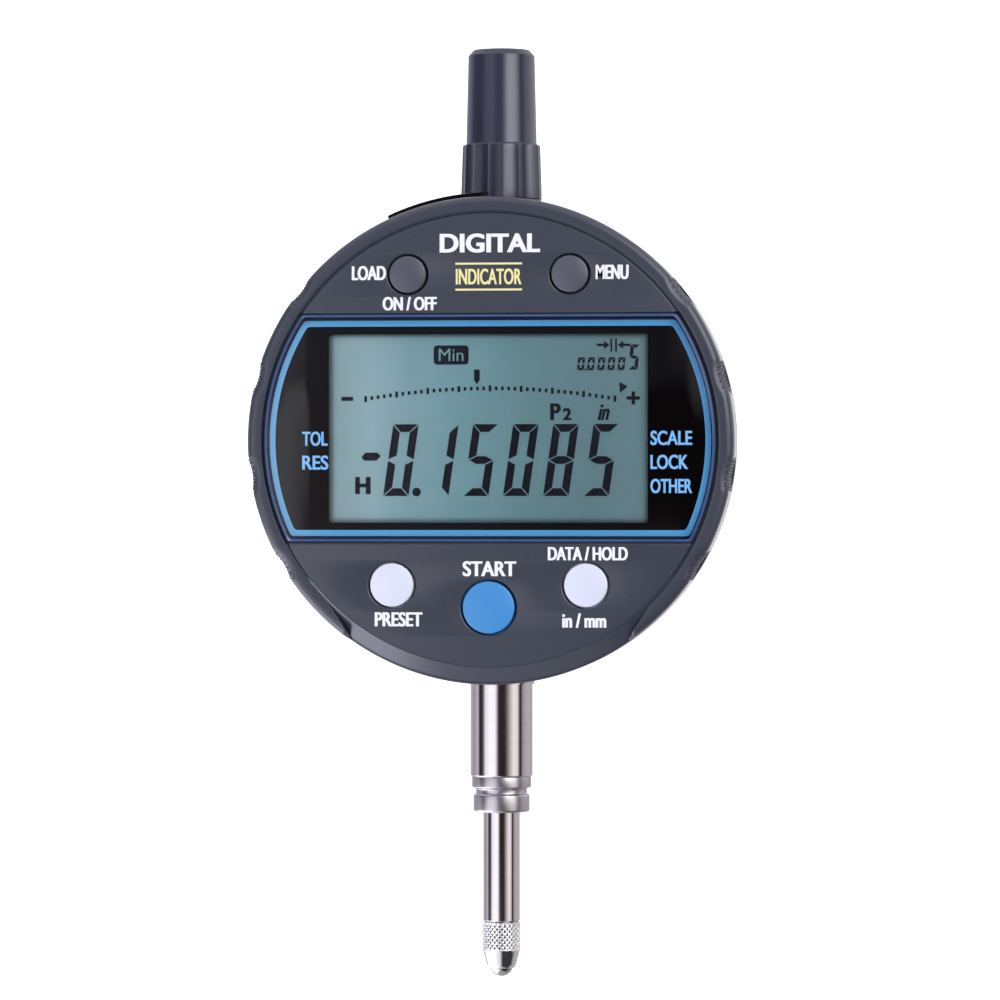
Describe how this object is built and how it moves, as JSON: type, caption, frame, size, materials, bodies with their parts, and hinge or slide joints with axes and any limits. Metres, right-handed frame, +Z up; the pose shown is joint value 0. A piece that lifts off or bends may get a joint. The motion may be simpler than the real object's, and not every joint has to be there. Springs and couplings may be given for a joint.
{
  "type": "digital plunger indicator",
  "caption": "Plunger indicator with a round digital display that turns on its case, push buttons, a clamping stem, a lug back, a sprung spindle with a ball contact and a fluted spindle cap.",
  "frame": {"origin": "on the stem axis, half way along the stem's clamping length", "axes": "+Z up the spindle away from the contact point, -Y towards the side that shows the display, +X to the right of someone who reads the display"},
  "size_m": [0.0612, 0.04, 0.1187],
  "materials": {
    "case_plastic": "moulded, very fine texture, satin",
    "back_plastic": "moulded, fine texture",
    "gloss_black": "polished moulding",
    "cap_plastic": "semi-gloss moulding",
    "white_button": "smooth satin",
    "blue_button": "smooth satin",
    "grey_button": "smooth satin",
    "white_nylon": "natural",
    "ground_steel": "ground and polished",
    "steel_parts": "turned",
    "carbide": "lapped",
    "bronze": "turned",
    "rubber_parts": "moulded",
    "board": "solder mask",
    "chip": "moulded epoxy",
    "capacitor": "fired",
    "aluminium_parts": "machined",
    "clear_lens": "hard-coated acrylic",
    "lcd_glass": "liquid crystal cell",
    "scale_glass": "glass with printed electrodes",
    "mask_print": "printed film",
    "zebra": "layered silicone",
    "ribbon": "polyimide film",
    "silver_film": "reflector film"
  },
  "bodies": {
    "case": {"rear_case": "back_plastic", "lug_back": "back_plastic", "back_screws": "steel_parts", "back_seal": "rubber_parts", "stem": "ground_steel", "stem_bush": "ground_steel", "wiper_seal": "rubber_parts", "bumper": "rubber_parts", "upper_bush": "bronze", "cap_nipple": "steel_parts", "cap_seal": "rubber_parts", "detector_board": "board", "detector_chip": "chip", "detector_socket": "white_nylon", "detector_screws": "steel_parts", "guide_rod": "ground_steel", "spring_post": "steel_parts", "retaining_ring": "steel_parts", "retaining_screws": "steel_parts", "stop_pin": "steel_parts", "drag_washer": "white_nylon", "ribbon_coil": "ribbon"},
    "plunger": {"spindle": "ground_steel", "contact_holder": "steel_parts", "contact_ball": "carbide", "scale_carrier": "aluminium_parts", "carrier_screw": "steel_parts", "main_scale": "scale_glass", "stop_collar": "bronze", "spring_hook": "steel_parts", "return_spring": "ground_steel"},
    "display": {"front_case": "case_plastic", "window_lens": "clear_lens", "window_mask": "mask_print", "lcd_panel": "lcd_glass", "lcd_reflector": "silver_film", "lcd_holder": "white_nylon", "zebra_strips": "zebra", "main_board": "board", "main_chip": "chip", "crystal": "steel_parts", "capacitors": "capacitor", "ribbon_socket": "white_nylon", "upper_keypad": "rubber_parts", "lower_keypad": "rubber_parts", "switch_board": "board", "display_back": "back_plastic", "display_screws": "steel_parts", "battery_contacts": "bronze", "data_port": "gloss_black"},
    "power_key": {"power_button": "grey_button"},
    "menu_key": {"menu_button": "grey_button"},
    "preset_key": {"preset_button": "white_button"},
    "start_key": {"start_button": "blue_button"},
    "hold_key": {"hold_button": "white_button"},
    "drawer": {"battery_drawer": "gloss_black", "battery": "steel_parts", "drawer_seal": "rubber_parts"},
    "port_plug": {"port_cap": "back_plastic"},
    "top_cap": {"spindle_cap": "cap_plastic"}
  },
  "joints": [
    {"name": "spindle_slide", "type": "slide", "parent": "case", "child": "plunger", "axis": [0, 0, 1], "range_m": [0, 0.0127], "stiffness_N_per_m": 40, "springref_m": -0.025, "deforming": ["return_spring"]},
    {"name": "display_turn", "type": "hinge", "parent": "case", "child": "display", "pos_m": [0, 0, 0.0369], "axis": [0, 1, 0], "range_deg": [-90, 240]},
    {"name": "power_press", "type": "slide", "parent": "display", "child": "power_key", "axis": [0, 1, 0], "range_m": [0, 0.0004], "stiffness_N_per_m": 1500, "springref_m": -0.0004},
    {"name": "menu_press", "type": "slide", "parent": "display", "child": "menu_key", "axis": [0, 1, 0], "range_m": [0, 0.0004], "stiffness_N_per_m": 1500, "springref_m": -0.0004},
    {"name": "preset_press", "type": "slide", "parent": "display", "child": "preset_key", "axis": [0, 1, 0], "range_m": [0, 0.0004], "stiffness_N_per_m": 1500, "springref_m": -0.0004},
    {"name": "start_press", "type": "slide", "parent": "display", "child": "start_key", "axis": [0, 1, 0], "range_m": [0, 0.0004], "stiffness_N_per_m": 1500, "springref_m": -0.0004},
    {"name": "hold_press", "type": "slide", "parent": "display", "child": "hold_key", "axis": [0, 1, 0], "range_m": [0, 0.0004], "stiffness_N_per_m": 1500, "springref_m": -0.0004},
    {"name": "drawer_pull", "type": "slide", "parent": "display", "child": "drawer", "axis": [-0.2198, 0, 0.9755], "range_m": [0, 0.016]},
    {"name": "port_plug_pull", "type": "slide", "parent": "display", "child": "port_plug", "axis": [0.4067, 0, 0.9135], "range_m": [0, 0.007]},
    {"name": "cap_lift", "type": "slide", "parent": "case", "child": "top_cap", "axis": [0, 0, 1], "range_m": [0, 0.02]}
  ]
}
